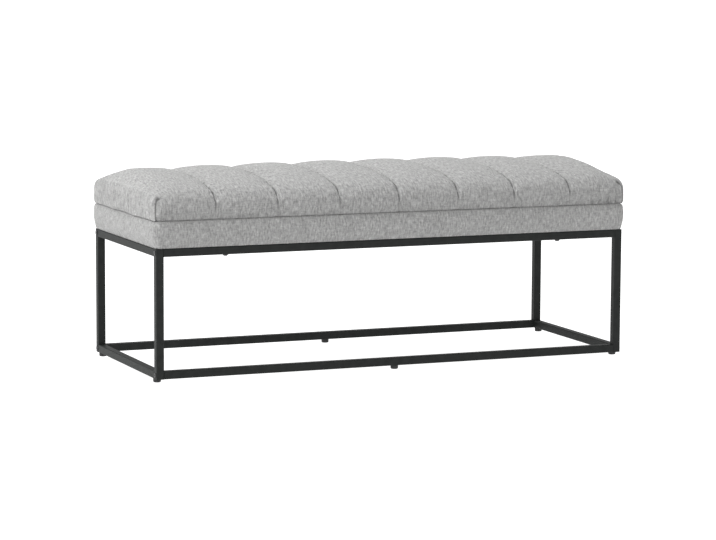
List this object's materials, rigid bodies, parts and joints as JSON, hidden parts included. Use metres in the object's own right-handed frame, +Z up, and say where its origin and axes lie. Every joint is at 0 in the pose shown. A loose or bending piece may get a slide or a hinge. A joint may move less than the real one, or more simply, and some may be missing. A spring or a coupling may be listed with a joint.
{
  "type": "upholstered bench",
  "caption": "Long upholstered bench: channelled padded seat with a plain border band, bolted to an open square-tube frame that stands on screw-in levelling feet.",
  "frame": {"origin": "on the floor, below the middle of the bench", "axes": "+X along the bench to the right as seen from the front, +Y to the rear, +Z up"},
  "size_m": [1.2198, 0.4782, 0.4821],
  "materials": {
    "frame_paint": "matte powder coat",
    "black_plastic": "matte, moulded",
    "black_steel": "satin black",
    "plain_steel": "zinc plated",
    "staple_wire": "galvanised wire",
    "dust_cloth": "matte non-woven cloth",
    "plywood": "raw plywood",
    "foam": "matte foam",
    "woven_fabric": "matte, coarse weave with slubs"
  },
  "bodies": {
    "bench": {"leg_front_left": "frame_paint", "leg_front_right": "frame_paint", "leg_rear_left": "frame_paint", "leg_rear_right": "frame_paint", "end_rail_bottom_left": "frame_paint", "end_rail_bottom_right": "frame_paint", "long_rail_bottom_front": "frame_paint", "long_rail_bottom_rear": "frame_paint", "end_rail_top_left": "frame_paint", "end_rail_top_right": "frame_paint", "long_rail_top_front": "frame_paint", "long_rail_top_rear": "frame_paint", "leg_end_plugs": "black_plastic", "rail_end_inserts": "plain_steel", "frame_bolts": "black_steel", "foot_nuts": "plain_steel", "seat_bolts": "black_steel", "seat_inserts": "plain_steel", "staples": "staple_wire", "dust_cover": "dust_cloth", "seat_board": "plywood", "foam_slab": "foam", "foam_core": "foam", "border_band_front": "woven_fabric", "border_band_rear": "woven_fabric", "border_band_left": "woven_fabric", "border_band_right": "woven_fabric", "channel_cover": "woven_fabric"},
    "stem_front_left": {"foot_stem_front_left": "plain_steel"},
    "pad_front_left": {"foot_pad_front_left": "black_plastic"},
    "stem_front_right": {"foot_stem_front_right": "plain_steel"},
    "pad_front_right": {"foot_pad_front_right": "black_plastic"},
    "stem_rear_left": {"foot_stem_rear_left": "plain_steel"},
    "pad_rear_left": {"foot_pad_rear_left": "black_plastic"},
    "stem_rear_right": {"foot_stem_rear_right": "plain_steel"},
    "pad_rear_right": {"foot_pad_rear_right": "black_plastic"},
    "stem_front_middle": {"foot_stem_front_middle": "plain_steel"},
    "pad_front_middle": {"foot_pad_front_middle": "black_plastic"},
    "stem_rear_middle": {"foot_stem_rear_middle": "plain_steel"},
    "pad_rear_middle": {"foot_pad_rear_middle": "black_plastic"}
  },
  "joints": [
    {"name": "foot_lift_front_left", "type": "slide", "parent": "bench", "child": "stem_front_left", "axis": [0, 0, -1], "range_m": [0, 0.008]},
    {"name": "foot_turn_front_left", "type": "hinge", "parent": "stem_front_left", "child": "pad_front_left", "pos_m": [-0.594, -0.2075, 0], "axis": [0, 0, -1], "range_deg": [0, 2880]},
    {"name": "foot_lift_front_right", "type": "slide", "parent": "bench", "child": "stem_front_right", "axis": [0, 0, -1], "range_m": [0, 0.008]},
    {"name": "foot_turn_front_right", "type": "hinge", "parent": "stem_front_right", "child": "pad_front_right", "pos_m": [0.594, -0.2075, 0], "axis": [0, 0, -1], "range_deg": [0, 2880]},
    {"name": "foot_lift_rear_left", "type": "slide", "parent": "bench", "child": "stem_rear_left", "axis": [0, 0, -1], "range_m": [0, 0.008]},
    {"name": "foot_turn_rear_left", "type": "hinge", "parent": "stem_rear_left", "child": "pad_rear_left", "pos_m": [-0.594, 0.2075, 0], "axis": [0, 0, -1], "range_deg": [0, 2880]},
    {"name": "foot_lift_rear_right", "type": "slide", "parent": "bench", "child": "stem_rear_right", "axis": [0, 0, -1], "range_m": [0, 0.008]},
    {"name": "foot_turn_rear_right", "type": "hinge", "parent": "stem_rear_right", "child": "pad_rear_right", "pos_m": [0.594, 0.2075, 0], "axis": [0, 0, -1], "range_deg": [0, 2880]},
    {"name": "foot_lift_front_middle", "type": "slide", "parent": "bench", "child": "stem_front_middle", "axis": [0, 0, -1], "range_m": [0, 0.008]},
    {"name": "foot_turn_front_middle", "type": "hinge", "parent": "stem_front_middle", "child": "pad_front_middle", "pos_m": [0, -0.223, 0], "axis": [0, 0, -1], "range_deg": [0, 2880]},
    {"name": "foot_lift_rear_middle", "type": "slide", "parent": "bench", "child": "stem_rear_middle", "axis": [0, 0, -1], "range_m": [0, 0.008]},
    {"name": "foot_turn_rear_middle", "type": "hinge", "parent": "stem_rear_middle", "child": "pad_rear_middle", "pos_m": [0, 0.223, 0], "axis": [0, 0, -1], "range_deg": [0, 2880]}
  ],
  "couplings": [
    {"joint": "foot_turn_front_left", "follows": "foot_lift_front_left", "rad_per_m": 6283.2},
    {"joint": "foot_turn_front_right", "follows": "foot_lift_front_right", "rad_per_m": 6283.2},
    {"joint": "foot_turn_rear_left", "follows": "foot_lift_rear_left", "rad_per_m": 6283.2},
    {"joint": "foot_turn_rear_right", "follows": "foot_lift_rear_right", "rad_per_m": 6283.2},
    {"joint": "foot_turn_front_middle", "follows": "foot_lift_front_middle", "rad_per_m": 6283.2},
    {"joint": "foot_turn_rear_middle", "follows": "foot_lift_rear_middle", "rad_per_m": 6283.2}
  ]
}
